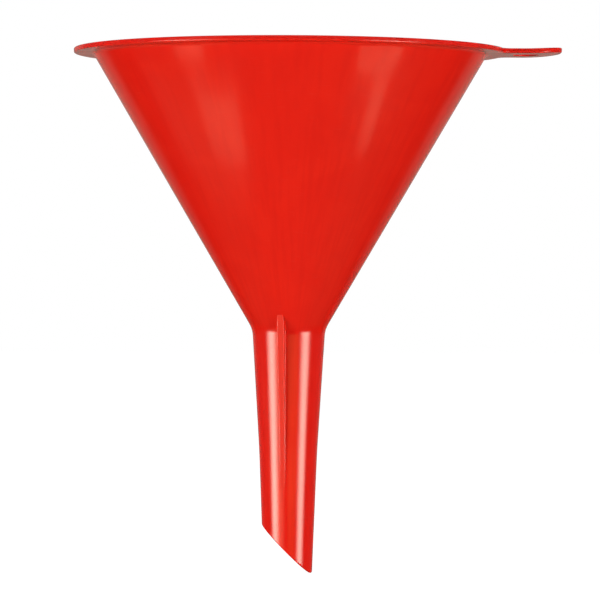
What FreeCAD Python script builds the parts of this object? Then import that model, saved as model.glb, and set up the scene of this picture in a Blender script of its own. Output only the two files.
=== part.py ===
import FreeCAD, Part
import math
import os

import Sketcher
from FreeCAD import Placement, Rotation, Vector

# A moulded plastic funnel with a hanging tab, a slanted spout and a vent rib.
#
# Frame: +Z is up, +X points along the hanging tab, and the origin is the centre of the open mouth, in the
# plane of the rim's top face. Depths are measured downwards from that plane. All sizes are in millimetres
# and all angles in degrees.

DIMENSIONS = {
    # rim and cone
    "rim_radius": 80.0,
    "flange_thickness": 1.8,
    "flange_width": 7.02,
    "edge_round": 0.5,
    "lip_round": 0.7,
    "root_round": 2.2,
    "cone_half_angle": 30.29,
    "wall": 1.5,
    # throat and spout
    "throat_depth": 103.65,
    "throat_round": 10.0,
    "upper_taper": 3.5,
    "knee_depth": 148.6,
    "knee_round": 400.0,
    "lower_taper": 2.2,
    "tip_depth": 194.6,
    "cut_angle": 45.2,
    "cut_bearing": 6.0,
    "cut_round": 0.6,
    # hanging tab
    "tab_reach": 100.5,
    "tab_width": 28.0,
    "tab_corner": 10.5,
    "tab_flare": 3.0,
    "curl_start": 86.0,
    "curl_radius": 125.0,
    "hole_reach": 87.3,
    "hole_diameter": 9.6,
    # vent rib
    "rib_top_depth": 98.3,
    "rib_foot_depth": 162.0,
    "rib_top_width": 2.8,
    "rib_foot_width": 1.7,
    "rib_round": 0.3,
    "rib_bearing": 11.0,
}

FRONT_ANGLE = 270
LENGTH_TOLERANCE = 0.01


def cone_radius(depth):
    """Outside radius of the cone at a depth."""
    return f"({CONE_TOP_RADIUS} - ({depth} - dims.flange_thickness) * tan(dims.cone_half_angle))"


def upper_spout_radius(depth):
    """Outside radius of the spout at a depth above its knee."""
    return f"({THROAT_RADIUS} - ({depth} - dims.throat_depth) * tan(dims.upper_taper))"


def lower_spout_radius(depth):
    """Outside radius of the spout at a depth below its knee."""
    return f"({KNEE_RADIUS} - ({depth} - dims.knee_depth) * tan(dims.lower_taper))"


# Formulas in the sheet's names, used wherever a size is bound.
CONE_TOP_RADIUS = "(dims.rim_radius - dims.flange_width)"
CONE_WALL_ACROSS = "(dims.wall / cos(dims.cone_half_angle))"
SPOUT_WALL_ACROSS = "(dims.wall / cos(dims.lower_taper))"
SEAT_RADIUS = "(dims.rim_radius - dims.edge_round)"
THROAT_RADIUS = cone_radius("dims.throat_depth")
KNEE_RADIUS = upper_spout_radius("dims.knee_depth")

# Each round between two walls starts and ends this far from their sharp corner.
ROOT_REACH = "(dims.root_round * tan((90 - dims.cone_half_angle) / 2))"
THROAT_REACH = "(dims.throat_round * tan((dims.cone_half_angle - dims.upper_taper) / 2))"
KNEE_REACH = "(dims.knee_round * tan((dims.upper_taper - dims.lower_taper) / 2))"


def down_wall(radius, depth, taper, along, inward="0"):
    """A point reached by going down a wall that tapers inwards, then square through it."""
    return (
        f"({radius} - ({along}) * sin({taper}) - ({inward}) * cos({taper}))",
        f"-({depth} + ({along}) * cos({taper}) - ({inward}) * sin({taper}))",
    )


def throat_start(inward="0"):
    return down_wall(THROAT_RADIUS, "dims.throat_depth", "dims.cone_half_angle", f"-{THROAT_REACH}", inward)


def throat_end(inward="0"):
    return down_wall(THROAT_RADIUS, "dims.throat_depth", "dims.upper_taper", THROAT_REACH, inward)


def knee_start(inward="0"):
    return down_wall(KNEE_RADIUS, "dims.knee_depth", "dims.upper_taper", f"-{KNEE_REACH}", inward)


def knee_end(inward="0"):
    return down_wall(KNEE_RADIUS, "dims.knee_depth", "dims.lower_taper", KNEE_REACH, inward)


def make_sheet(doc):
    sheet = doc.addObject("Spreadsheet::Sheet", "dims")
    for row, (name, value) in enumerate(DIMENSIONS.items(), start=1):
        sheet.set(f"A{row}", name)
        sheet.set(f"B{row}", str(value))
        sheet.setAlias(f"B{row}", name)
    doc.recompute()
    return sheet


def value_of(obj, formula):
    return float(obj.evalExpression(formula))


def new_body(doc, name):
    body = doc.addObject("PartDesign::Body", name)
    body.Label = name
    return body


def new_sketch(body, name, plane):
    sketch = body.newObject("Sketcher::SketchObject", name)
    planes = {feature.Role: feature for feature in body.Origin.OriginFeatures}
    sketch.AttachmentSupport = [(planes[plane], "")]
    sketch.MapMode = "FlatFace"
    return sketch


def bind(sketch, constraint, formula):
    """Add a dimension to a sketch and bind its value to a formula."""
    index = sketch.addConstraint(constraint)
    sketch.setExpression(f"Constraints[{index}]", formula)


def pin_along(sketch, kind, geometry, end, formula):
    """Fix one coordinate of a line's or an arc's end, measured from the sketch's origin."""
    value = value_of(sketch, formula)
    if value >= 0:
        bind(sketch, Sketcher.Constraint(kind, -1, 1, geometry, end, value), formula)
    else:
        bind(sketch, Sketcher.Constraint(kind, geometry, end, -1, 1, -value), f"-({formula})")


def arc_between(start, end, radius, bulge):
    """A short arc from start to end. It bulges to the left of the way it runs if bulge is 1, and to the
    right if bulge is -1. Also returns which of its ends lies at start, because arcs run anticlockwise."""
    chord = end - start
    across = Vector(-chord.y, chord.x, 0).normalize()
    rise = math.sqrt(radius**2 - (chord.Length / 2) ** 2)
    centre = start + chord * 0.5 - across * (bulge * rise)
    from_centre = [math.atan2((p - centre).y, (p - centre).x) for p in (start, end)]
    first, last = reversed(from_centre) if bulge > 0 else from_centre
    arc = Part.ArcOfCircle(Part.Circle(centre, Vector(0, 0, 1), radius), first, last)
    return arc, 2 if bulge > 0 else 1


def draw_outline(sketch, corners, rounds=None):
    """Draw a closed outline through corners, each a pair of formulas. rounds maps the number of a side to
    the (radius formula, bulge) of the arc that it is; every other side is straight."""
    rounds = rounds or {}
    points = [Vector(*(value_of(sketch, formula) for formula in corner), 0) for corner in corners]
    count = len(points)
    ends = []
    for side in range(count):
        start, end = points[side], points[(side + 1) % count]
        if side in rounds:
            radius, bulge = rounds[side]
            shape, first_end = arc_between(start, end, value_of(sketch, radius), bulge)
        else:
            shape, first_end = Part.LineSegment(start, end), 1
        geometry = sketch.addGeometry(shape)
        ends.append((geometry, first_end, 3 - first_end))
    for side, (geometry, first_end, last_end) in enumerate(ends):
        after, after_first, _ = ends[(side + 1) % count]
        sketch.addConstraint(Sketcher.Constraint("Coincident", geometry, last_end, after, after_first))
        pin_along(sketch, "DistanceX", geometry, first_end, corners[side][0])
        pin_along(sketch, "DistanceY", geometry, first_end, corners[side][1])
        if side in rounds:
            radius = rounds[side][0]
            bind(sketch, Sketcher.Constraint("Radius", geometry, value_of(sketch, radius)), radius)


def revolve(body, sketch):
    """Turn a sketch in the XZ plane all the way round the vertical axis."""
    turned = body.newObject("PartDesign::Revolution", f"{body.Name}_turn")
    turned.Profile = sketch
    turned.ReferenceAxis = (sketch, ["V_Axis"])
    turned.Angle = 360
    return turned


def cut_through(body, sketch, name):
    """Cut a sketch through the whole body, both ways from its plane, and check that it removed something."""
    body.Document.recompute()
    before = body.Shape.Volume
    cut = body.newObject("PartDesign::Pocket", name)
    cut.Profile = sketch
    cut.Type = "ThroughAll"
    cut.Midplane = True
    body.Document.recompute()
    if cut.Shape.Volume >= before:
        raise RuntimeError(f"{name} cut nothing")
    return cut


def round_edges(body, base, name, radius, chosen):
    """Round the edges of a feature for which chosen(edge) is true."""
    body.Document.recompute()
    names = [f"Edge{i}" for i, edge in enumerate(base.Shape.Edges, start=1) if chosen(edge)]
    if not names:
        raise RuntimeError(f"{name} found no edges")
    rounded = body.newObject("PartDesign::Fillet", name)
    rounded.Base = (base, names)
    rounded.setExpression("Radius", radius)
    return rounded


def draw_tab_outline(sketch):
    """The tab from above: its root sits in the rim's rounded edge, and its sides flare into the rim."""
    half = "dims.tab_width / 2"
    flare_y = f"({half} + dims.tab_flare)"
    flare_x = f"sqrt((dims.rim_radius + dims.tab_flare) ^ 2 - {flare_y} ^ 2)"
    to_rim = "dims.rim_radius / (dims.rim_radius + dims.tab_flare)"
    to_seat = f"{SEAT_RADIUS} / (dims.rim_radius + dims.tab_flare)"
    shoulder = "dims.tab_reach - dims.tab_corner"
    end_half = f"({half} - dims.tab_corner)"
    corners = [
        (f"{flare_x} * {to_seat}", f"-{flare_y} * {to_seat}"),
        (f"{flare_x} * {to_rim}", f"-{flare_y} * {to_rim}"),
        (flare_x, f"-{half}"),
        (shoulder, f"-{half}"),
        ("dims.tab_reach", f"-{end_half}"),
        ("dims.tab_reach", end_half),
        (shoulder, half),
        (flare_x, half),
        (f"{flare_x} * {to_rim}", f"{flare_y} * {to_rim}"),
        (f"{flare_x} * {to_seat}", f"{flare_y} * {to_seat}"),
    ]
    rounds = {
        1: ("dims.tab_flare", 1),
        3: ("dims.tab_corner", -1),
        5: ("dims.tab_corner", -1),
        7: ("dims.tab_flare", 1),
        9: (SEAT_RADIUS, 1),
    }
    draw_outline(sketch, corners, rounds)


def make_rim_flange(doc):
    """The flat ring round the mouth, rounded at its outer edges and its inner lip."""
    body = new_body(doc, "rim_flange")
    profile = new_sketch(body, "rim_profile", "XZ_Plane")
    inner_bottom = f"{CONE_TOP_RADIUS} - {CONE_WALL_ACROSS}"
    corners = [
        (f"{cone_radius('0')} - {CONE_WALL_ACROSS}", "0"),
        ("dims.rim_radius", "0"),
        ("dims.rim_radius", "-dims.flange_thickness"),
        (inner_bottom, "-dims.flange_thickness"),
    ]
    draw_outline(profile, corners)
    ring = revolve(body, profile)

    rim_radius = value_of(body, "dims.rim_radius")
    cone_top_radius = value_of(body, CONE_TOP_RADIUS)

    def on_outer_edge(edge):
        return isinstance(edge.Curve, Part.Circle) and abs(edge.Curve.Radius - rim_radius) < LENGTH_TOLERANCE

    def on_lip(edge):
        if not isinstance(edge.Curve, Part.Circle):
            return False
        return edge.Curve.Radius < cone_top_radius and abs(edge.Curve.Center.z) < LENGTH_TOLERANCE

    outside = round_edges(body, ring, "rim_edge_rounds", "dims.edge_round", on_outer_edge)
    round_edges(body, outside, "rim_lip_round", "dims.lip_round", on_lip)

    seat = new_sketch(body, "tab_seat_outline", "XY_Plane")
    draw_tab_outline(seat)
    cut_through(body, seat, "tab_seat")
    return body


def make_hanging_tab(doc):
    """The flat lug with its hang hole, curling gently upwards towards its end."""
    body = new_body(doc, "hanging_tab")
    side = new_sketch(body, "tab_side", "XZ_Plane")
    inner_end = "dims.rim_radius - 2 * dims.tab_flare"
    outer_end = "dims.tab_reach + dims.flange_thickness"
    under_radius = "(dims.curl_radius + dims.flange_thickness)"

    def height_at_end(radius):
        return f"dims.curl_radius - sqrt({radius} ^ 2 - ({outer_end} - dims.curl_start) ^ 2)"

    corners = [
        (inner_end, "0"),
        (inner_end, "-dims.flange_thickness"),
        ("dims.curl_start", "-dims.flange_thickness"),
        (outer_end, height_at_end(under_radius)),
        (outer_end, height_at_end("dims.curl_radius")),
        ("dims.curl_start", "0"),
    ]
    draw_outline(side, corners, {2: (under_radius, -1), 4: ("dims.curl_radius", 1)})
    blank = body.newObject("PartDesign::Pad", "tab_blank")
    blank.Profile = side
    blank.Midplane = True
    blank.setExpression("Length", "dims.tab_width + 4 * dims.tab_flare")

    trim = new_sketch(body, "tab_outline", "XY_Plane")
    draw_tab_outline(trim)
    margin = "2 * dims.tab_reach"
    draw_outline(trim, [("0", f"-{margin}"), (margin, f"-{margin}"), (margin, margin), ("0", margin)])
    cut_through(body, trim, "tab_trim")

    hole = new_sketch(body, "hang_hole_outline", "XY_Plane")
    centre = Vector(value_of(body, "dims.hole_reach"), 0, 0)
    hole_radius = value_of(body, "dims.hole_diameter") / 2
    circle = hole.addGeometry(Part.Circle(centre, Vector(0, 0, 1), hole_radius))
    pin_along(hole, "DistanceX", circle, 3, "dims.hole_reach")
    hole.addConstraint(Sketcher.Constraint("PointOnObject", circle, 3, -1))
    bind(hole, Sketcher.Constraint("Diameter", circle, 2 * hole_radius), "dims.hole_diameter")
    drilled = cut_through(body, hole, "hang_hole")

    rim_radius = value_of(body, "dims.rim_radius")

    def runs_round_the_outside(edge):
        ends = [vertex.Point for vertex in edge.Vertexes]
        span = ends[-1] - ends[0]
        lies_flat = math.hypot(span.x, span.y) > LENGTH_TOLERANCE
        past_rim = all(math.hypot(end.x, end.y) > rim_radius - LENGTH_TOLERANCE for end in ends)
        off_hole = all(math.hypot(end.x - centre.x, end.y) > hole_radius + LENGTH_TOLERANCE for end in ends)
        return lies_flat and past_rim and off_hole

    round_edges(body, drilled, "tab_edge_rounds", "dims.edge_round", runs_round_the_outside)
    return body


def make_cone_bowl(doc):
    """The conical wall, with a small round where it meets the underside of the flange."""
    body = new_body(doc, "cone_bowl")
    profile = new_sketch(body, "cone_profile", "XZ_Plane")
    corners = [
        (f"{CONE_TOP_RADIUS} - {CONE_WALL_ACROSS}", "-dims.flange_thickness"),
        (f"{CONE_TOP_RADIUS} + {ROOT_REACH}", "-dims.flange_thickness"),
        down_wall(CONE_TOP_RADIUS, "dims.flange_thickness", "dims.cone_half_angle", ROOT_REACH),
        throat_start(),
        throat_start("dims.wall"),
    ]
    draw_outline(profile, corners, {1: ("dims.root_round", -1)})
    revolve(body, profile)
    return body


def make_throat_collar(doc):
    """The rounded wall between the cone and the spout."""
    body = new_body(doc, "throat_collar")
    profile = new_sketch(body, "throat_profile", "XZ_Plane")
    corners = [throat_start(), throat_end(), throat_end("dims.wall"), throat_start("dims.wall")]
    rounds = {0: ("dims.throat_round", -1), 2: ("(dims.throat_round + dims.wall)", 1)}
    draw_outline(profile, corners, rounds)
    revolve(body, profile)
    return body


def make_spout_tube(doc):
    """The spout: it tapers in two stages and is cut off at a slant, longest on the tab's side."""
    body = new_body(doc, "spout_tube")
    profile = new_sketch(body, "spout_profile", "XZ_Plane")
    blank_end = "(dims.tip_depth + dims.wall)"
    corners = [
        throat_end(),
        knee_start(),
        knee_end(),
        (lower_spout_radius(blank_end), f"-{blank_end}"),
        (f"{lower_spout_radius(blank_end)} - {SPOUT_WALL_ACROSS}", f"-{blank_end}"),
        knee_end("dims.wall"),
        knee_start("dims.wall"),
        throat_end("dims.wall"),
    ]
    rounds = {1: ("dims.knee_round", -1), 5: ("(dims.knee_round + dims.wall)", 1)}
    draw_outline(profile, corners, rounds)
    revolve(body, profile)

    slant = new_sketch(body, "slant_outline", "XZ_Plane")
    slant.AttachmentOffset = Placement(Vector(0, 0, 0), Rotation(Vector(0, -1, 0), 1))
    slant.setExpression("AttachmentOffset.Rotation.Angle", "dims.cut_bearing")
    tip_radius = lower_spout_radius("dims.tip_depth")

    def slant_height(across):
        return f"-dims.tip_depth - ({across} - {tip_radius}) * tan(dims.cut_angle)"

    low = slant_height(THROAT_RADIUS)
    high = slant_height(f"-{THROAT_RADIUS}")
    corners = [(THROAT_RADIUS, low), (f"-{THROAT_RADIUS}", high), (f"-{THROAT_RADIUS}", low)]
    draw_outline(slant, corners)
    cut = cut_through(body, slant, "slant_cut")

    knee_height = value_of(body, "-dims.knee_depth")
    wall = value_of(body, "dims.wall")

    def round_the_slant(edge):
        extent = edge.BoundBox
        is_straight = isinstance(edge.Curve, Part.Line)
        return extent.ZMax < knee_height and extent.ZLength > wall and not is_straight

    round_edges(body, cut, "slant_edge_rounds", "dims.cut_round", round_the_slant)
    return body


def make_outer_form(doc):
    """The solid inside the throat's and spout's outer skin, which the rib's root is shaped against."""
    body = new_body(doc, "outer_form")
    profile = new_sketch(body, "outer_form_profile", "XZ_Plane")
    top = "(dims.rib_top_depth - dims.throat_round)"
    bottom = "(dims.rib_foot_depth + dims.throat_round)"
    corners = [
        ("0", f"-{top}"),
        (cone_radius(top), f"-{top}"),
        throat_start(),
        throat_end(),
        knee_start(),
        knee_end(),
        (lower_spout_radius(bottom), f"-{bottom}"),
        ("0", f"-{bottom}"),
    ]
    draw_outline(profile, corners, {2: ("dims.throat_round", -1), 4: ("dims.knee_round", -1)})
    revolve(body, profile)
    return body


def make_rib_blank(doc):
    """The rib before its root is shaped: an upright blade in the XZ plane that reaches to the axis."""
    body = new_body(doc, "rib_blank")
    front = new_sketch(body, "rib_front", "YZ_Plane")
    corners = [
        ("-dims.rib_top_width / 2", "-dims.rib_top_depth"),
        ("dims.rib_top_width / 2", "-dims.rib_top_depth"),
        ("dims.rib_foot_width / 2", "-dims.rib_foot_depth"),
        ("-dims.rib_foot_width / 2", "-dims.rib_foot_depth"),
    ]
    draw_outline(front, corners)
    blade = body.newObject("PartDesign::Pad", "rib_blade")
    blade.Profile = front
    blade.setExpression("Length", "dims.rim_radius")

    crest = new_sketch(body, "rib_crest", "XZ_Plane")
    top_radius = cone_radius("dims.rib_top_depth")
    foot_radius = lower_spout_radius("dims.rib_foot_depth")
    beyond = "2 * dims.rim_radius"
    corners = [
        (top_radius, "-dims.rib_top_depth"),
        (foot_radius, "-dims.rib_foot_depth"),
        (beyond, "-dims.rib_foot_depth"),
        (beyond, "-dims.rib_top_depth"),
    ]
    draw_outline(crest, corners)
    trimmed = cut_through(body, crest, "rib_crest_cut")

    reach = [value_of(body, foot_radius), value_of(body, top_radius)]

    def runs_down_the_crest(edge):
        ends = sorted(vertex.Point.x for vertex in edge.Vertexes)
        return all(abs(end - radius) < LENGTH_TOLERANCE for end, radius in zip(ends, reach))

    round_edges(body, trimmed, "rib_crest_rounds", "dims.rib_round", runs_down_the_crest)
    return body


def make_vent_rib(doc):
    """The upright rib that holds the spout off a filler neck so that air can leave."""
    rib = doc.addObject("Part::Cut", "vent_rib")
    rib.Label = "vent_rib"
    rib.Base = make_rib_blank(doc)
    rib.Tool = make_outer_form(doc)
    rib.Placement = Placement(Vector(0, 0, 0), Rotation(Vector(0, 0, 1), FRONT_ANGLE))
    rib.setExpression("Placement.Rotation.Angle", f"{FRONT_ANGLE} - dims.rib_bearing")
    return rib


def check(doc, parts):
    """Stop if any object failed, or if any sub-part isn't one sound solid."""
    for obj in doc.Objects:
        if {"Invalid", "Error"} & set(obj.State):
            raise RuntimeError(f"{obj.Name} failed: {obj.State}")
    for part in parts:
        if part.Shape.isNull() or not part.Shape.isValid() or len(part.Shape.Solids) != 1:
            raise RuntimeError(f"{part.Label} isn't one sound solid")


def main():
    doc = FreeCAD.newDocument("funnel")
    make_sheet(doc)
    makers = (
        make_rim_flange,
        make_hanging_tab,
        make_cone_bowl,
        make_throat_collar,
        make_spout_tube,
        make_vent_rib,
    )
    parts = [make(doc) for make in makers]
    doc.recompute()
    check(doc, parts)
    os.makedirs("parts", exist_ok=True)
    for part in parts:
        part.Shape.exportStep(f"parts/{part.Label}.step")


main()
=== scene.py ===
from math import atan2, ceil, cos, pi, radians, sin, sqrt, tan

import bmesh
import bpy
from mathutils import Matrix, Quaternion, Vector


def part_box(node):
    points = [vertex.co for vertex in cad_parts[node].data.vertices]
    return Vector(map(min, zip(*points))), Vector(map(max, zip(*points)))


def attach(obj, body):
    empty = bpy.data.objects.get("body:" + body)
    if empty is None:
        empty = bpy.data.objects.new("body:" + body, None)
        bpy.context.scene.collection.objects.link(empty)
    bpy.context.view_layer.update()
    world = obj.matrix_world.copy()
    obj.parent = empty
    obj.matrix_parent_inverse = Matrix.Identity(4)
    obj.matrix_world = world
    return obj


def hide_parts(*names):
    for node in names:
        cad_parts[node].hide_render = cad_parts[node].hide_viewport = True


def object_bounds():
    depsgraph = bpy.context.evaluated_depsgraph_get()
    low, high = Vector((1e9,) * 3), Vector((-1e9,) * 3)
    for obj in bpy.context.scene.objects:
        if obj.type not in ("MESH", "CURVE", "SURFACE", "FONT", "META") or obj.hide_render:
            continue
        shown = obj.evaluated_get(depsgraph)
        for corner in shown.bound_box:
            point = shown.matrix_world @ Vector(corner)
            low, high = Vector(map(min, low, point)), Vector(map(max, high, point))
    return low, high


# A glossy red moulded funnel, standing in a white studio.
#
# Everything is in metres in the CAD frame: +Z is up, +X points along the hanging tab, and the origin is the
# centre of the mouth, in the plane of the rim's top face. Depths are measured downwards from that plane.
# A section is drawn in the plane of radius and height, clockwise, so that its normals point to its left.

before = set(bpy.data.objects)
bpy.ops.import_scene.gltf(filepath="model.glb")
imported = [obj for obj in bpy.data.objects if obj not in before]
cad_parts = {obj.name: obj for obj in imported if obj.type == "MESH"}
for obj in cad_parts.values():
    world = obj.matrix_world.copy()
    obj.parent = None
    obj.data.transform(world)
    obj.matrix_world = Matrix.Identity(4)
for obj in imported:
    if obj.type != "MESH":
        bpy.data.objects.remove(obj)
cad_low, cad_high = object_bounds()

MM = 0.001
QUARTER = pi / 2

# ---- sizes, from the CAD parts where they give them ----

rim_low, rim_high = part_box("rim_flange")
tab_low, tab_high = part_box("hanging_tab")
rib_low, rib_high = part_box("vent_rib")

RIM_RADIUS = -rim_low.x
FLANGE = rim_high.z - rim_low.z
FLANGE_WIDTH = 7.02 * MM
EDGE_ROUND = 0.5 * MM
LIP_ROUND = 0.7 * MM
ROOT_ROUND = 2.2 * MM
WALL = 1.5 * MM
CONE_TOP = RIM_RADIUS - FLANGE_WIDTH
SEAT_RADIUS = RIM_RADIUS - EDGE_ROUND

CONE_ANGLE = radians(30.29)
THROAT_DEPTH = 103.65 * MM
THROAT_ROUND = 10 * MM
UPPER_TAPER = radians(3.5)
KNEE_DEPTH = 148.6 * MM
KNEE_ROUND = 400 * MM
LOWER_TAPER = radians(2.2)
TIP_DEPTH = 194.6 * MM
CUT_ANGLE = radians(45.2)
CUT_BEARING = radians(6)
CUT_ROUND = 0.6 * MM

TAB_REACH = tab_high.x
TAB_WIDTH = 28 * MM
TAB_CORNER = 10.5 * MM
TAB_FLARE = 3 * MM
CURL_START = 86 * MM
CURL_RADIUS = 125 * MM
HOLE_CENTRE = Vector((87.3 * MM, 0))
HOLE_RADIUS = 4.8 * MM
HOLE_ROUND = 0.2 * MM

RIB_TOP_DEPTH = -rib_high.z
RIB_FOOT_DEPTH = -rib_low.z
RIB_TOP_WIDTH = 2.8 * MM
RIB_FOOT_WIDTH = 1.7 * MM
RIB_ROUND = 0.3 * MM
RIB_BEARING = radians(11)

# ---- how finely the surfaces are divided ----

TAB_STEPS = 16
REST_STEPS = 240
ARC_STEP = radians(4)
ROW_LENGTH = 3 * MM
TAB_ROW_LENGTH = 1 * MM
TINY = 0.001 * MM

# The centre of the tab's flare is this far to the side of +X, and the tab's root spans this angle each side.
FLARE_OFFSET = TAB_WIDTH / 2 + TAB_FLARE
TAB_SECTOR = atan2(FLARE_OFFSET, sqrt((RIM_RADIUS + TAB_FLARE) ** 2 - FLARE_OFFSET**2))


def spread(first, last, steps):
    return [first + (last - first) * k / steps for k in range(steps + 1)]


TAB_ANGLES = spread(-TAB_SECTOR, TAB_SECTOR, TAB_STEPS)
REST_ANGLES = spread(TAB_SECTOR, 2 * pi - TAB_SECTOR, REST_STEPS)
ALL_ANGLES = TAB_ANGLES[:-1] + REST_ANGLES


# ---- meshes from patches ----
# A patch is a grid of (position, normal) pairs. A solid is a list of patches whose borders coincide.


def solid(name, patches):
    """One closed mesh from patches, smooth inside each patch and creased where patches meet at an angle."""
    places, normals = [], []
    for grid in patches:
        for row, after in zip(grid, grid[1:]):
            for k in range(len(row) - 1):
                ring = facing_outwards([row[k], row[k + 1], after[k + 1], after[k]])
                places.extend(place for place, _ in ring)
                normals.extend(normal for _, normal in ring)
    mesh = bpy.data.meshes.new(name)
    mesh.from_pydata(places, [], [range(first, first + 4) for first in range(0, len(places), 4)])
    stored = mesh.attributes.new("facing", "FLOAT_VECTOR", "CORNER")
    stored.data.foreach_set("vector", [part for normal in normals for part in normal])
    weld(mesh)
    mesh.shade_smooth()
    stored = mesh.attributes["facing"]
    kept = [tuple(item.vector) for item in stored.data]
    mesh.attributes.remove(stored)
    mesh.normals_split_custom_set(kept)
    piece = bpy.data.objects.new(name, mesh)
    bpy.context.scene.collection.objects.link(piece)
    return piece


def facing_outwards(ring):
    """The corners of a quad, in the order that turns its face along their normals."""
    (first, _), (second, _), (third, _), (fourth, _) = ring
    across = (third - first).cross(fourth - second)
    towards = sum((normal for _, normal in ring), Vector((0, 0, 0)))
    return ring if across.dot(towards) > 0 else ring[::-1]


def weld(mesh):
    """Join the vertices where quads meet, and stop if any edge then doesn't join exactly two faces."""
    shaped = bmesh.new()
    shaped.from_mesh(mesh)
    bmesh.ops.remove_doubles(shaped, verts=shaped.verts, dist=TINY)
    loose = [edge for edge in shaped.edges if len(edge.link_faces) != 2]
    if loose:
        place = loose[0].verts[0].co
        raise RuntimeError(f"{mesh.name} isn't closed at {len(loose)} edges, such as {place}")
    shaped.to_mesh(mesh)
    shaped.free()


# ---- sections ----


def line(start, end, steps):
    """A straight run of a section."""
    along = (end - start).normalized()
    normal = Vector((-along.y, along.x))
    return [(start.lerp(end, k / steps), normal) for k in range(steps + 1)]


def rounded(before, corner, after, radius, steps):
    """The arc that rounds a corner of a section."""
    back = (before - corner).normalized()
    onward = (after - corner).normalized()
    half = back.angle(onward) / 2
    centre = corner + (back + onward).normalized() * (radius / sin(half))
    first = (corner + back * (radius / tan(half)) - centre).normalized()
    last = (corner + onward * (radius / tan(half)) - centre).normalized()
    outward = 1 if first.dot(Vector((back.y, -back.x))) > 0 else -1
    spokes = [first.slerp(last, k / steps) for k in range(steps + 1)]
    return [(centre + spoke * radius, spoke * outward) for spoke in spokes]


def section(*corners):
    """The runs of a closed section through corners, each a (point, rounding radius) pair."""
    points = [point for point, _ in corners]
    count = len(points)
    arcs = []
    for k, (point, radius) in enumerate(corners):
        before, after = points[k - 1], points[(k + 1) % count]
        if radius:
            turn = pi - (before - point).angle(after - point)
            arcs.append(rounded(before, point, after, radius, ceil(turn / ARC_STEP)))
        else:
            arcs.append(None)
    runs = []
    for k in range(count):
        start = arcs[k][-1][0] if arcs[k] else points[k]
        following = (k + 1) % count
        end = arcs[following][0][0] if arcs[following] else points[following]
        length = (end - start).length
        if arcs[k]:
            runs.append(arcs[k])
        if length > TINY:
            runs.append(line(start, end, ceil(length / ROW_LENGTH)))
    return runs


def around(angle, radial, up, sideways=0.0):
    """A point or direction given by its parts along the radius, the axis and the circle at an angle."""
    return Vector((
        radial * cos(angle) - sideways * sin(angle),
        radial * sin(angle) + sideways * cos(angle),
        up,
    ))


def turned(runs, angles=ALL_ANGLES):
    """The patches that the runs of a section sweep out as it turns through the angles."""
    return [
        [[(around(a, *point), around(a, *normal)) for a in angles] for point, normal in run]
        for run in runs
    ]


# ---- the funnel's walls ----


def cone_radius(depth):
    return CONE_TOP - (depth - FLANGE) * tan(CONE_ANGLE)


def down_wall(radius, depth, taper, along, inward=0.0):
    """A point reached by going down a wall that tapers inwards, then square through it."""
    return Vector((
        radius - along * sin(taper) - inward * cos(taper),
        -(depth + along * cos(taper) - inward * sin(taper)),
    ))


CONE_WALL_ACROSS = WALL / cos(CONE_ANGLE)
THROAT_RADIUS = cone_radius(THROAT_DEPTH)
KNEE_RADIUS = THROAT_RADIUS - (KNEE_DEPTH - THROAT_DEPTH) * tan(UPPER_TAPER)
TIP_RADIUS = KNEE_RADIUS - (TIP_DEPTH - KNEE_DEPTH) * tan(LOWER_TAPER)

# Each round between two walls starts and ends this far from their sharp corner.
ROOT_REACH = ROOT_ROUND * tan((QUARTER - CONE_ANGLE) / 2)
THROAT_REACH = THROAT_ROUND * tan((CONE_ANGLE - UPPER_TAPER) / 2)
KNEE_REACH = KNEE_ROUND * tan((UPPER_TAPER - LOWER_TAPER) / 2)


def throat_corner(inward=0.0):
    """The sharp corner between the cone's and the spout's walls, this far inside the outer skin."""
    middle = (CONE_ANGLE + UPPER_TAPER) / 2
    reach = inward / cos((CONE_ANGLE - UPPER_TAPER) / 2)
    return Vector((THROAT_RADIUS - reach * cos(middle), -THROAT_DEPTH + reach * sin(middle)))


def throat_start(inward=0.0):
    return down_wall(THROAT_RADIUS, THROAT_DEPTH, CONE_ANGLE, -THROAT_REACH, inward)


def throat_end(inward=0.0):
    return down_wall(THROAT_RADIUS, THROAT_DEPTH, UPPER_TAPER, THROAT_REACH, inward)


def skin(depth, inward=0.0):
    """The (radius, taper) of the throat's or spout's outer skin at a depth, or of the skin this far in."""
    rounds = (
        (THROAT_RADIUS, THROAT_DEPTH, CONE_ANGLE, THROAT_REACH, THROAT_ROUND),
        (KNEE_RADIUS, KNEE_DEPTH, UPPER_TAPER, KNEE_REACH, KNEE_ROUND),
    )
    tapers = (CONE_ANGLE, UPPER_TAPER, LOWER_TAPER)
    for number, (radius, corner_depth, taper, reach, arc) in enumerate(rounds):
        start = down_wall(radius, corner_depth, taper, -reach, inward)
        if depth <= -start.y:
            return start.x + (-start.y - depth) * tan(taper), taper
        end = down_wall(radius, corner_depth, tapers[number + 1], reach, inward)
        if depth < -end.y:
            centre = start + Vector((cos(taper), -sin(taper))) * (arc + inward)
            rise = -depth - centre.y
            across = sqrt((arc + inward) ** 2 - rise**2)
            return centre.x - across, atan2(rise, across)
    return end.x - (depth + end.y) * tan(LOWER_TAPER), LOWER_TAPER


# ---- pieces ----


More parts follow.
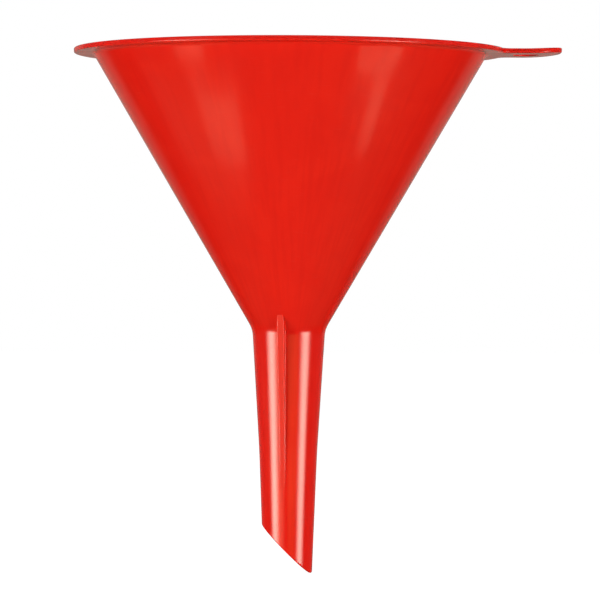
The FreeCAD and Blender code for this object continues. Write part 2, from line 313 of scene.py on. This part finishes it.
def rim_flange_moulding():
    """The flat ring round the mouth, with a seat for the tab."""
    lip = Vector((cone_radius(0) - CONE_WALL_ACROSS, 0))
    free = section(
        (lip, LIP_ROUND),
        (Vector((RIM_RADIUS, 0)), EDGE_ROUND),
        (Vector((RIM_RADIUS, -FLANGE)), EDGE_ROUND),
        (Vector((CONE_TOP + ROOT_REACH, -FLANGE)), 0),
        (Vector((CONE_TOP - CONE_WALL_ACROSS, -FLANGE)), 0),
    )
    seated, ends = [], []
    for run in free:
        if max(point.x for point, _ in run) > SEAT_RADIUS + TINY:
            clamped = [(Vector((SEAT_RADIUS, point.y)), Vector((1, 0))) for point, _ in run]
            seated.append(clamped)
            ends.append((run, clamped))
        else:
            seated.append(run)
    patches = turned(free, REST_ANGLES) + turned(seated, TAB_ANGLES)
    for angle in (TAB_ANGLES[0], TAB_ANGLES[-1]):
        facing = around(angle, 0, 0, 1 if angle > 0 else -1) * -1
        for pair in ends:
            patches.append([[(around(angle, *point), facing) for point, _ in run] for run in pair])
    return solid("rim_flange_moulding", patches)


def cone_bowl_moulding():
    """The conical wall, with a small round under the flange."""
    return solid("cone_bowl_moulding", turned(section(
        (Vector((CONE_TOP - CONE_WALL_ACROSS, -FLANGE)), 0),
        (Vector((CONE_TOP + ROOT_REACH, -FLANGE)), 0),
        (Vector((CONE_TOP, -FLANGE)), ROOT_ROUND),
        (throat_start(), 0),
        (throat_start(WALL), 0),
    )))


def throat_collar_moulding():
    """The rounded wall between the cone and the spout."""
    return solid("throat_collar_moulding", turned(section(
        (throat_start(), 0),
        (throat_corner(), THROAT_ROUND),
        (throat_end(), 0),
        (throat_end(WALL), 0),
        (throat_corner(WALL), THROAT_ROUND + WALL),
        (throat_start(WALL), 0),
    )))


def wall_run(top, bottom, inward, steps):
    """A run down the spout's outer skin, or up the inner one, between two depths."""
    run = []
    for depth in spread(top, bottom, steps):
        radius, taper = skin(depth, inward)
        facing = 1 if inward == 0 else -1
        run.append((Vector((radius, -depth)), Vector((cos(taper), -sin(taper))) * facing))
    return run


CUT_NORMAL = Vector((
    -sin(CUT_ANGLE) * cos(CUT_BEARING),
    sin(CUT_ANGLE) * sin(CUT_BEARING),
    -cos(CUT_ANGLE),
))


def slant_corner(angle, inward):
    """Where the slanted cut meets the outer skin, or the skin this far inside it, at an angle."""
    slope = tan(CUT_ANGLE) * cos(angle + CUT_BEARING)
    level = TIP_DEPTH - TIP_RADIUS * tan(CUT_ANGLE)
    radius, _ = skin(TIP_DEPTH, inward)
    depth = (level + slope * (radius + TIP_DEPTH * tan(LOWER_TAPER))) / (1 + slope * tan(LOWER_TAPER))
    return Vector((skin(depth, inward)[0], -depth))


SPOUT_ROWS = 64
SLANT_ARC_STEPS = 6


def turned_at(run, angle):
    return [(around(angle, *point), around(angle, *normal)) for point, normal in run]


def bent(run, angle, first, last):
    """The run at an angle, with its normals turned evenly from one direction to another. This suits a round
    that isn't square to the run's plane."""
    steps = len(run) - 1
    return [(around(angle, *point), first.slerp(last, k / steps)) for k, (point, _) in enumerate(run)]


def spout_section(angle):
    """The runs of the spout at an angle, as (position, normal) pairs in space."""
    outer, inner = slant_corner(angle, 0), slant_corner(angle, WALL)
    down = Vector((-sin(LOWER_TAPER), -cos(LOWER_TAPER)))
    outer_round = rounded(outer - down * WALL, outer, inner, CUT_ROUND, SLANT_ARC_STEPS)
    inner_round = rounded(outer, inner, inner - down * WALL, CUT_ROUND, SLANT_ARC_STEPS)
    skin_normal = around(angle, cos(LOWER_TAPER), -sin(LOWER_TAPER))
    outer_wall = wall_run(-throat_end().y, -outer_round[0][0].y, 0, SPOUT_ROWS)
    inner_wall = wall_run(-inner_round[-1][0].y, -throat_end(WALL).y, WALL, SPOUT_ROWS)
    top = line(throat_end(WALL), throat_end(), 1)
    return [
        turned_at(outer_wall, angle),
        bent(outer_round, angle, skin_normal, CUT_NORMAL),
        [(around(angle, *point), CUT_NORMAL) for point in (outer_round[-1][0], inner_round[0][0])],
        bent(inner_round, angle, CUT_NORMAL, -skin_normal),
        turned_at(inner_wall, angle),
        turned_at(top, angle),
    ]


def spout_tube_moulding():
    """The spout, cut off at a slant."""
    columns = [spout_section(angle) for angle in ALL_ANGLES]
    patches = [list(map(list, zip(*runs))) for runs in zip(*columns)]
    return solid("spout_tube_moulding", patches)


# ---- the hanging tab ----

TAB_RINGS = 10
TAB_ARC_STEPS = 12
TAB_EDGE_STEPS = 12
HOLE_EDGE_STEPS = 6


def curl(x):
    """The heights of the tab's top face and underside at a distance x, and the direction up from the face."""
    run = max(x - CURL_START, 0)
    top = CURL_RADIUS - sqrt(CURL_RADIUS**2 - run**2)
    underside = CURL_RADIUS - sqrt((CURL_RADIUS + FLANGE) ** 2 - run**2)
    return top, underside, Vector((-run, 0, CURL_RADIUS - top)).normalized()


def bow(centre, radius, first, last, steps, facing):
    """Part of the tab's outline: (point, outward normal) pairs along an arc between two directions."""
    spokes = [first.slerp(last, k / steps) for k in range(steps + 1)]
    return [(centre + spoke * radius, spoke * facing) for spoke in spokes]


def tab_outline():
    """The tab's free outline, anticlockwise from the rim to the rim, as (point, outward normal) pairs."""
    half = TAB_WIDTH / 2
    flare = Vector((cos(TAB_SECTOR), -sin(TAB_SECTOR))) * (RIM_RADIUS + TAB_FLARE)
    shoulder = Vector((TAB_REACH - TAB_CORNER, TAB_CORNER - half))
    right, down = Vector((1, 0)), Vector((0, -1))
    lower = bow(flare, TAB_FLARE, -flare.normalized(), -down, TAB_ARC_STEPS, -1)
    side_length = shoulder.x - flare.x
    side = spread(flare.x, shoulder.x, ceil(side_length / TAB_ROW_LENGTH))[1:-1]
    lower += [(Vector((x, -half)), down) for x in side]
    lower += bow(shoulder, TAB_CORNER, down, right, TAB_ARC_STEPS, 1)
    end = spread(shoulder.y, -shoulder.y, ceil(-2 * shoulder.y / TAB_ROW_LENGTH))[1:-1]
    middle = [(Vector((TAB_REACH, y)), right) for y in end]
    upper = [(Vector((p.x, -p.y)), Vector((n.x, -n.y))) for p, n in reversed(lower)]
    return lower + middle + upper


def edge_down(start, normal, radius, steps):
    """Down a rounded edge of the tab that faces along the normal, from the top face to the underside."""
    outward = Vector((*normal, 0))
    top, underside, up = curl(start.x)
    down = []
    for share in spread(0, 1, steps):
        swing = QUARTER * share
        place = start + normal * (radius * sin(swing))
        height = top - radius * (1 - cos(swing))
        down.append((Vector((*place, height)), up.slerp(outward, share)))
    for share in spread(0, 1, steps):
        swing = QUARTER * (1 - share)
        place = start + normal * (radius * sin(swing))
        height = underside + radius * (1 - cos(swing))
        down.append((Vector((*place, height)), outward.slerp(-up, share)))
    return down


def hole_edge(point):
    """Down the hole's wall, on the line from the hole's centre to a point."""
    direction = (point - HOLE_CENTRE).normalized()
    start = HOLE_CENTRE + direction * (HOLE_RADIUS + HOLE_ROUND)
    return edge_down(start, -direction, HOLE_ROUND, HOLE_EDGE_STEPS)


def tab_face(ring, face):
    """The tab's top face (0) or underside (1), from the hole out to a ring of points round its edge."""
    rows = []
    for share in spread(0, 1, TAB_RINGS):
        row = []
        for point in ring:
            direction = (point - HOLE_CENTRE).normalized()
            start = HOLE_CENTRE + direction * (HOLE_RADIUS + HOLE_ROUND)
            place = start.lerp(point, share)
            *heights, up = curl(place.x)
            row.append((Vector((*place, heights[face])), up if face == 0 else -up))
        rows.append(row)
    return rows


def hanging_tab_moulding():
    """The flat lug with its hang hole, curling up towards its end."""
    inset = [(point - normal * EDGE_ROUND, normal) for point, normal in tab_outline()]
    edge = [edge_down(point, normal, EDGE_ROUND, TAB_EDGE_STEPS) for point, normal in inset]
    seat = [Vector((cos(a), sin(a))) * SEAT_RADIUS for a in reversed(TAB_ANGLES)]
    heights = [position.z for position, _ in edge[0]]
    seat_wall = [[(Vector((*p, z)), Vector((-p.x, -p.y, 0)).normalized()) for z in heights] for p in seat]
    ring = [point for point, _ in inset] + seat[1:-1]
    ring.append(ring[0])
    hole_wall = [hole_edge(point) for point in ring]
    patches = [edge, seat_wall, tab_face(ring, 0), tab_face(ring, 1), hole_wall]
    for column, wall in ((edge[-1], seat_wall[0]), (edge[0], seat_wall[-1])):
        sideways = 1 if column[0][0].y > 0 else -1
        facing = around(TAB_SECTOR * sideways, 0, 0, sideways)
        patches.append([[(position, facing) for position, _ in run] for run in (column, wall)])
    return solid("hanging_tab_moulding", patches)


# ---- the vent rib ----

RIB_ROWS = 96
RIB_ARC_STEPS = 6
RIB_ROOT_ROUND = 0.2 * MM
RIB_NOSE = 6 * MM
RIB_NOSE_SHARE = 0.6


def rib_section(depth):
    """The rib's section at a depth, in two runs: the free side, from root to root over the crest, and the
    back, along the skin the other way. A run holds (point, normal, dip) triples. The first two are given as
    (sideways, outward), and the dip is how far the surface faces down."""
    radius, taper = skin(depth)
    share = (depth - RIB_TOP_DEPTH) / (RIB_FOOT_DEPTH - RIB_TOP_DEPTH)
    top_radius, foot_radius = cone_radius(RIB_TOP_DEPTH), skin(RIB_FOOT_DEPTH)[0]
    crest = top_radius + (foot_radius - top_radius) * share
    crest_dip = sin(atan2(top_radius - foot_radius, RIB_FOOT_DEPTH - RIB_TOP_DEPTH))
    half = (RIB_TOP_WIDTH + (RIB_FOOT_WIDTH - RIB_TOP_WIDTH) * share) / 2
    nose = 1 - min((depth - RIB_TOP_DEPTH) / RIB_NOSE, 1)
    half *= RIB_NOSE_SHARE + (1 - RIB_NOSE_SHARE) * sqrt(1 - nose**2)
    height = max(crest - radius, 0)
    root = min(RIB_ROOT_ROUND, height / 3)
    edge = min(RIB_ROUND, height / 3)
    root_centre = Vector((half + root, sqrt((radius + root) ** 2 - (half + root) ** 2)))
    crest = max(crest, root_centre.y + edge)
    right, up = Vector((1, 0)), Vector((0, 1))
    side = []
    for share in spread(0, 1, RIB_ARC_STEPS):
        spoke = root_centre.normalized().slerp(right, share)
        side.append((root_centre - spoke * root, spoke, sin(taper)))
    for share in spread(0, 1, RIB_ARC_STEPS):
        spoke = right.slerp(up, share)
        side.append((Vector((half - edge, crest - edge)) + spoke * edge, spoke, crest_dip))
    free = side + [(Vector((-p.x, p.y)), Vector((-n.x, n.y)), dip) for p, n, dip in reversed(side)]
    reach = atan2(side[0][0].x, side[0][0].y)
    spokes = [Vector((sin(a), cos(a))) for a in spread(reach, -reach, len(free) - 1)]
    return free, [(spoke * radius, -spoke, sin(taper)) for spoke in spokes]


def vent_rib_moulding():
    """The upright rib on the spout, with a small round along its root."""
    outward = Vector((-sin(RIB_BEARING), -cos(RIB_BEARING), 0))
    sideways = Vector((cos(RIB_BEARING), -sin(RIB_BEARING), 0))
    front, back = [], []
    for depth in spread(RIB_TOP_DEPTH, RIB_FOOT_DEPTH, RIB_ROWS):
        for grid, run in zip((front, back), rib_section(depth)):
            grid.append([
                (
                    sideways * p.x + outward * p.y + Vector((0, 0, -depth)),
                    (sideways * n.x + outward * n.y + Vector((0, 0, -dip * n.y))).normalized(),
                )
                for p, n, dip in run
            ])
    top_end = [[(place, Vector((0, 0, 1))) for place, _ in grid[0]] for grid in (front, back)]
    foot_end = [[(place, Vector((0, 0, -1))) for place, _ in grid[-1]] for grid in (front, back)]
    return solid("vent_rib_moulding", [front, back, top_end, foot_end])


# ---- shader graphs ----


class Graph:
    """A shader tree that is built one node at a time."""

    def __init__(self, owner):
        owner.use_nodes = True
        self.tree = owner.node_tree
        self.tree.nodes.clear()

    def add(self, kind, *inputs, **settings):
        """Add a node. An input is None, a plain value or another node's output, in the node's own order."""
        node = self.tree.nodes.new("ShaderNode" + kind)
        for name, value in settings.items():
            setattr(node, name, value)
        for socket, value in zip([s for s in node.inputs if s.enabled], inputs):
            self.feed(socket, value)
        return node

    def feed(self, socket, value):
        if isinstance(value, bpy.types.NodeSocket):
            self.tree.links.new(value, socket)
        elif value is not None:
            socket.default_value = value

    def math(self, operation, *inputs):
        return self.add("Math", *inputs, operation=operation).outputs[0]

    def vector(self, operation, *inputs):
        return self.add("VectorMath", *inputs, operation=operation).outputs[0]

    def ramp(self, value, low, high, start=0.0, end=1.0, smooth=True):
        """The value's place between low and high, eased and rescaled from start to end."""
        kind = "SMOOTHSTEP" if smooth else "LINEAR"
        return self.add("MapRange", value, low, high, start, end, interpolation_type=kind).outputs[0]

    def near(self, value, target, reach):
        """1 where the value is on its target, falling to 0 at a distance."""
        return self.ramp(self.math("ABSOLUTE", self.math("SUBTRACT", value, target)), 0, reach, 1, 0)

    def product(self, *factors):
        result = factors[0]
        for factor in factors[1:]:
            result = self.math("MULTIPLY", result, factor)
        return result

    def noise(self, place, grain, detail=2.0, distortion=0.0):
        """Noise from 0 to 1 whose blobs are about the size of the grain."""
        return self.add("TexNoise", place, 1 / grain, detail, 0.5, 2.0, distortion).outputs[0]

    def mix(self, share, first, second):
        """A colour between two, which are outputs or (red, green, blue)."""
        colours = [c if isinstance(c, bpy.types.NodeSocket) else (*c, 1) for c in (first, second)]
        node = self.add("Mix", share, *colours, data_type="RGBA")
        return next(output for output in node.outputs if output.enabled)

    def bump(self, height, rise, under=None):
        """Normals raised by a height from 0 to 1 that stands for a rise in metres, on top of others."""
        return self.add("Bump", 1.0, rise, None, height, under).outputs[0]


# ---- studio ----
# The two strips and the overhead box light the object. The other softboxes only show in its gloss.

WHITE = (1.0, 1.0, 1.0)
WARM_WHITE = (1.0, 0.93, 0.79)
AMBER = (1.0, 0.62, 0.38)
ORANGE = (1.0, 0.5, 0.14)
STRAW = (1.0, 0.95, 0.45)
ROSE = (1.0, 0.7, 0.62)

# Upright softboxes: azimuth in degrees, distance, height of the middle, (width, height), strength, fade and
# tint.
STRIPS = {
    "strip_left": (-58, 1.0, -0.28, (0.84, 0.52), 12.5, (0.5, 0.12), WARM_WHITE),
    "strip_right": (55.5, 1.0, -0.28, (0.84, 0.52), 11.5, (0.5, 0.12), WARM_WHITE),
}
FILLS = {
    "left_fill": (-36, 1.0, -0.28, (1.06, 0.52), 2.75, (0.5, 0.12), AMBER),
    "front_fill": (15, 0.9, -0.23, (0.8, 0.26), 1.2, (0.3, 0.3), ORANGE),
}

# Other softboxes: (width, height), middle, the place that it faces, strength and fade.
BACK_PANEL = ((0.84, 0.9), (0, 0.45, -0.02), (0, 0, -0.02), 0.18, (0.0, 0.5))
OVERHEAD = ((1.2, 1.2), (0, 0, 1.1), (0, 0, 0), 2.2, (0.25, 0.25))

# Small ragged softboxes close below the cone, for the pale patches in its gloss. Each group shows at a place
# on the cone, given by azimuth and depth, and stands at a distance from it. Each of its boxes has an offset,
# (width, height), roll, strength, fade and raggedness. Angles are in degrees and lengths in millimetres.
PATCHES = (
    ((-27.2, 25.1, 196), {
        "left_haze": ((50, 2), (340, 75), 20, 0.24, (0.3, 0.4), 0.2),
        "left_glow": ((-8, -13), (120, 34), 30, 1.25, (0.2, 0.2), 0.3),
        "left_top": ((8, 32), (72, 9), 24, 2.4, (0.1, 0.2), 0.1),
    }),
    ((29.5, 19.4, 197), {
        "right_haze": ((0, -4), (200, 60), -28, 0.12, (0.3, 0.4), 0.2),
        "right_glow": ((-6, -5), (42, 34), -28, 1.4, (0.2, 0.2), 0.3),
        "right_top": ((21, 6), (105, 10), -30, 2.7, (0.1, 0.2), 0.1),
    }),
)

RAG_SCALE = 3.0
RAG_DETAIL = 2.0
SHARPEST_FADE = 0.001

# The room's glow by how far up a ray points, from -1 to 1: the range it changes over, and its first and last
# strength. The gleams show in the gloss only.
ROOM_LIGHT = (-0.3, 0.3, 0.225, 0.265)
GROUND_GLEAM = (-0.75, -0.4, 0.2, 0.035)
HORIZON = (-0.22, -0.05)
HORIZON_GLEAM = 0.12

FLOOR_SIZE = 12.0
FLOOR_GREY = (0.25, 0.25, 0.25)
FLOOR_GLOW = 0.97

# The camera looks along +Y, with a long lens, and leans a little.
EYE = Vector((0.0041, -1.45, -0.0928))
EYE_ROLL = radians(-0.27)
SENSOR_WIDTH = 36
FOCAL_LENGTH = 234.8
SIGHT_LIMIT = 20


def rectangle(name, size):
    """A rectangle that faces up, with an empty material whose nodes are still to be added."""
    corners = [(-0.5, -0.5, 0), (0.5, -0.5, 0), (0.5, 0.5, 0), (-0.5, 0.5, 0)]
    mesh = bpy.data.meshes.new(name)
    mesh.from_pydata(corners, [], [(0, 1, 2, 3)])
    plane = bpy.data.objects.new(name, mesh)
    plane.scale = (*size, 1)
    bpy.context.scene.collection.objects.link(plane)
    material = bpy.data.materials.new(name)
    mesh.materials.append(material)
    return plane, Graph(material)


def softbox(name, size, centre, target, strength, fade, tint=WARM_WHITE, roll=0.0, ragged=0.0):
    """A rectangle that glows on the side that faces its target, fades over a share of its width and of its
    height at its borders, and doesn't show in the picture itself. It can be rolled in its own plane, and a
    ragged one has uneven borders."""
    plane, graph = rectangle(name, size)
    plane.location = centre
    plane.rotation_mode = "QUATERNION"
    facing = (Vector(target) - Vector(centre)).to_track_quat("Z", "Y")
    plane.rotation_quaternion = facing @ Quaternion((0, 0, 1), roll)
    plane.visible_camera = False
    plane.visible_shadow = False

    place = graph.add("TexCoord").outputs["Object"]
    if ragged:
        cloud = graph.add("TexNoise", place, RAG_SCALE, RAG_DETAIL).outputs["Color"]
        shift = graph.vector("SUBTRACT", cloud, (0.5, 0.5, 0.5))
        place = graph.vector("ADD", place, graph.vector("MULTIPLY", shift, (ragged, ragged, 0)))
    place = graph.add("SeparateXYZ", place).outputs
    glow = strength
    for part, border in zip(place[:2], fade):
        inset = graph.math("SUBTRACT", 0.5, graph.math("ABSOLUTE", part))
        glow = graph.product(glow, graph.ramp(inset, 0, max(border, SHARPEST_FADE)))
    behind = graph.add("NewGeometry").outputs["Backfacing"]
    glow = graph.product(glow, graph.math("SUBTRACT", 1, behind))
    emission = graph.add("Emission", (*tint, 1), glow)
    clear = graph.add("BsdfTransparent")
    both = graph.add("AddShader", emission.outputs[0], clear.outputs[0])
    graph.add("OutputMaterial", both.outputs[0])
    return plane


def upright(name, azimuth, distance, height, size, strength, fade, tint):
    """A softbox that faces the object's axis, from an azimuth that counts from the camera to its right."""
    angle = radians(azimuth)
    centre = Vector((distance * sin(angle), -distance * cos(angle), height))
    return softbox(name, size, centre, (0, 0, height), strength, fade, tint)


def seen_in_cone(azimuth, depth, distance):
    """Where a light stands to show at a place on the cone, this far from it, and the place that it faces."""
    angle = radians(azimuth) - QUARTER
    place = around(angle, cone_radius(depth * MM), -depth * MM)
    outwards = around(angle, cos(CONE_ANGLE), -sin(CONE_ANGLE))
    sight = (place - EYE).normalized()
    return place + distance * MM * sight.reflect(outwards), place


def softboxes():
    for name, measures in STRIPS.items():
        upright(name, *measures)
    mirrored = [upright(name, *measures) for name, measures in FILLS.items()]
    mirrored.append(softbox("back_panel", *BACK_PANEL))
    softbox("overhead", *OVERHEAD)
    for spot, boxes in PATCHES:
        middle, target = seen_in_cone(*spot)
        facing = (target - middle).to_track_quat("Z", "Y")
        for name, (offset, size, roll, strength, fade, ragged) in boxes.items():
            shift = facing @ (Vector((*offset, 0)) * MM)
            size = [side * MM for side in size]
            centre = middle + shift
            turn = radians(roll)
            mirrored.append(softbox(name, size, centre, target + shift, strength, fade, AMBER, turn, ragged))
    for plane in mirrored:
        plane.visible_diffuse = False


def surroundings():
    """White behind the object, dim in its reflections, and an even soft light on its surfaces."""
    world = bpy.data.worlds.new("studio")
    bpy.context.scene.world = world
    graph = Graph(world)
    height = graph.add("SeparateXYZ", graph.add("TexCoord").outputs["Generated"]).outputs["Z"]
    above_ground = graph.ramp(height, *HORIZON)
    gleam = graph.math("ADD", graph.ramp(height, *GROUND_GLEAM), graph.product(above_ground, HORIZON_GLEAM))
    light = graph.ramp(height, *ROOM_LIGHT)
    rays = graph.add("LightPath").outputs
    lit = graph.ramp(rays["Is Glossy Ray"], 0, 1, light, gleam, smooth=False)
    level = graph.ramp(rays["Is Camera Ray"], 0, 1, lit, 1.0, smooth=False)
    tint = graph.mix(above_ground, STRAW, ROSE)
    colour = graph.mix(rays["Is Glossy Ray"], WHITE, tint)
    background = graph.add("Background", colour, level)
    graph.add("OutputWorld", background.outputs[0])


def studio_floor():
    """A pale floor at the object's lowest point, which can be seen through from underneath."""
    floor, graph = rectangle("studio_floor", (FLOOR_SIZE, FLOOR_SIZE))
    floor.location.z = cad_low.z
    floor.visible_glossy = False
    floor.visible_diffuse = False
    floor.visible_shadow = False
    shader = graph.add("BsdfPrincipled")
    for name, value in (
        ("Base Color", (*FLOOR_GREY, 1)),
        ("Roughness", 1),
        ("Specular IOR Level", 0),
        ("Emission Color", (*WHITE, 1)),
        ("Emission Strength", FLOOR_GLOW),
    ):
        graph.feed(shader.inputs[name], value)
    underneath = graph.add("NewGeometry").outputs["Backfacing"]
    clear = graph.add("BsdfTransparent")
    one_sided = graph.add("MixShader", underneath, shader.outputs[0], clear.outputs[0])
    graph.add("OutputMaterial", one_sided.outputs[0])


def camera():
    data = bpy.data.cameras.new("camera")
    data.sensor_width = SENSOR_WIDTH
    data.lens = FOCAL_LENGTH
    data.clip_end = SIGHT_LIMIT
    eye = bpy.data.objects.new("camera", data)
    eye.location = EYE
    eye.rotation_euler = (QUARTER, EYE_ROLL, 0)
    bpy.context.scene.collection.objects.link(eye)
    bpy.context.scene.camera = eye
    bpy.context.scene.view_settings.view_transform = "Standard"


# ---- red plastic ----

RED = (0.82, 0.0095, 0.0044)
PALE_RED = (0.86, 0.0125, 0.005)
DEEP_RED = (0.77, 0.008, 0.004)
SCUFFED_RED = (0.8, 0.085, 0.06)

SWIRL_GRAIN = 28 * MM
WAVE_GRAIN = 16 * MM
WAVE_RISE = 0.09 * MM
BLOTCH_GRAIN = 9 * MM
SCRATCH_WIDTH = 5 * MM
SCRATCH_SQUEEZE = (1, 1, 9)
WEAR_GRAIN = 1.3 * MM
WEAR_RISE = 0.007 * MM
WEAR_REACH = 0.9 * MM
TIP_WEAR_REACH = 1.1 * MM
PEBBLE_GRAIN = 1.1 * MM
PEBBLE_RISE = 0.0025 * MM

# Streaks are this wide, as a share of the radius, and this much finer along a metre of height than around.
STREAK_WIDTH = 0.05
STREAK_STRETCH = 3.0


def edge_wear(graph, place):
    """How near a point is to the edges that get knocked: round the rim, round the tab and round the tip."""
    x, y, _ = graph.add("SeparateXYZ", place).outputs
    radius = graph.math("SQRT", graph.math("ADD", graph.product(x, x), graph.product(y, y)))
    rim = graph.near(radius, RIM_RADIUS, WEAR_REACH)
    on_tab = graph.math("GREATER_THAN", x, RIM_RADIUS)
    tab_side = graph.near(graph.math("ABSOLUTE", y), TAB_WIDTH / 2, WEAR_REACH)
    tab_end = graph.near(x, TAB_REACH, WEAR_REACH)
    tab = graph.product(on_tab, graph.math("MAXIMUM", tab_side, tab_end))
    along_cut = graph.add("VectorMath", place, CUT_NORMAL, operation="DOT_PRODUCT").outputs["Value"]
    cut_level = TIP_DEPTH * cos(CUT_ANGLE) - TIP_RADIUS * sin(CUT_ANGLE)
    tip = graph.near(along_cut, cut_level, TIP_WEAR_REACH)
    return graph.math("MAXIMUM", graph.math("MAXIMUM", rim, tab), tip)


def flow_lines(graph, place):
    """Streaks that run down the cone and the spout, as the melt flowed, a few degrees wide."""
    bearing = graph.vector("NORMALIZE", graph.vector("MULTIPLY", place, (1, 1, 0)))
    height = graph.add("SeparateXYZ", place).outputs["Z"]
    x, y, _ = graph.add("SeparateXYZ", bearing).outputs
    unrolled = graph.add("CombineXYZ", x, y, graph.product(height, STREAK_STRETCH)).outputs[0]
    return graph.noise(unrolled, STREAK_WIDTH, 3.0, 0.2)


def red_plastic():
    """Glossy red polyethylene: flow lines and faint swirls in its colour, a slightly uneven gloss, a skin
    that waves and is finely pebbled, faint scratches, and small scuffs on the edges."""
    material = bpy.data.materials.new("red_plastic")
    graph = Graph(material)
    place = graph.add("TexCoord").outputs["Object"]
    swirls = graph.noise(place, SWIRL_GRAIN, 2.0, 1.2)
    streaks = flow_lines(graph, place)
    blotches = graph.noise(place, BLOTCH_GRAIN, 3.0)
    pebbles = graph.noise(place, PEBBLE_GRAIN, 2.0)
    scratches = graph.noise(graph.vector("MULTIPLY", place, SCRATCH_SQUEEZE), SCRATCH_WIDTH, 6.0, 0.4)

    patchy = graph.ramp(graph.noise(place, WEAR_GRAIN, 4.0), 0.5, 0.68)
    worn = graph.product(edge_wear(graph, place), patchy)
    scuffed = graph.ramp(scratches, 0.63, 0.7)

    colour = graph.mix(graph.ramp(swirls, 0.35, 0.65, 0, 0.6), RED, PALE_RED)
    colour = graph.mix(graph.ramp(streaks, 0.4, 0.7, 0, 0.5), colour, DEEP_RED)
    colour = graph.mix(graph.product(worn, 0.14), colour, SCUFFED_RED)
    colour = graph.mix(graph.product(scuffed, 0.05), colour, SCUFFED_RED)

    rough = graph.ramp(blotches, 0.3, 0.7, 0.125, 0.165)
    rough = graph.math("ADD", rough, graph.product(scuffed, 0.05))
    rough = graph.math("ADD", rough, graph.product(worn, 0.1))

    waves = graph.bump(graph.noise(place, WAVE_GRAIN, 1.0), WAVE_RISE)
    pebbled = graph.bump(pebbles, PEBBLE_RISE, waves)
    scarred = graph.bump(graph.math("SUBTRACT", 1, worn), WEAR_RISE, pebbled)

    shader = graph.add("BsdfPrincipled")
    for name, value in (("Base Color", colour), ("Roughness", rough), ("Normal", scarred)):
        graph.feed(shader.inputs[name], value)
    graph.add("OutputMaterial", shader.outputs[0])
    return material


pieces = {
    "rim_flange": rim_flange_moulding(),
    "hanging_tab": hanging_tab_moulding(),
    "cone_bowl": cone_bowl_moulding(),
    "throat_collar": throat_collar_moulding(),
    "spout_tube": spout_tube_moulding(),
    "vent_rib": vent_rib_moulding(),
}
plastic = red_plastic()
for node, piece in pieces.items():
    piece.data.materials.append(plastic)
    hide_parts(node)
    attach(piece, "root")

softboxes()
surroundings()
studio_floor()
camera()
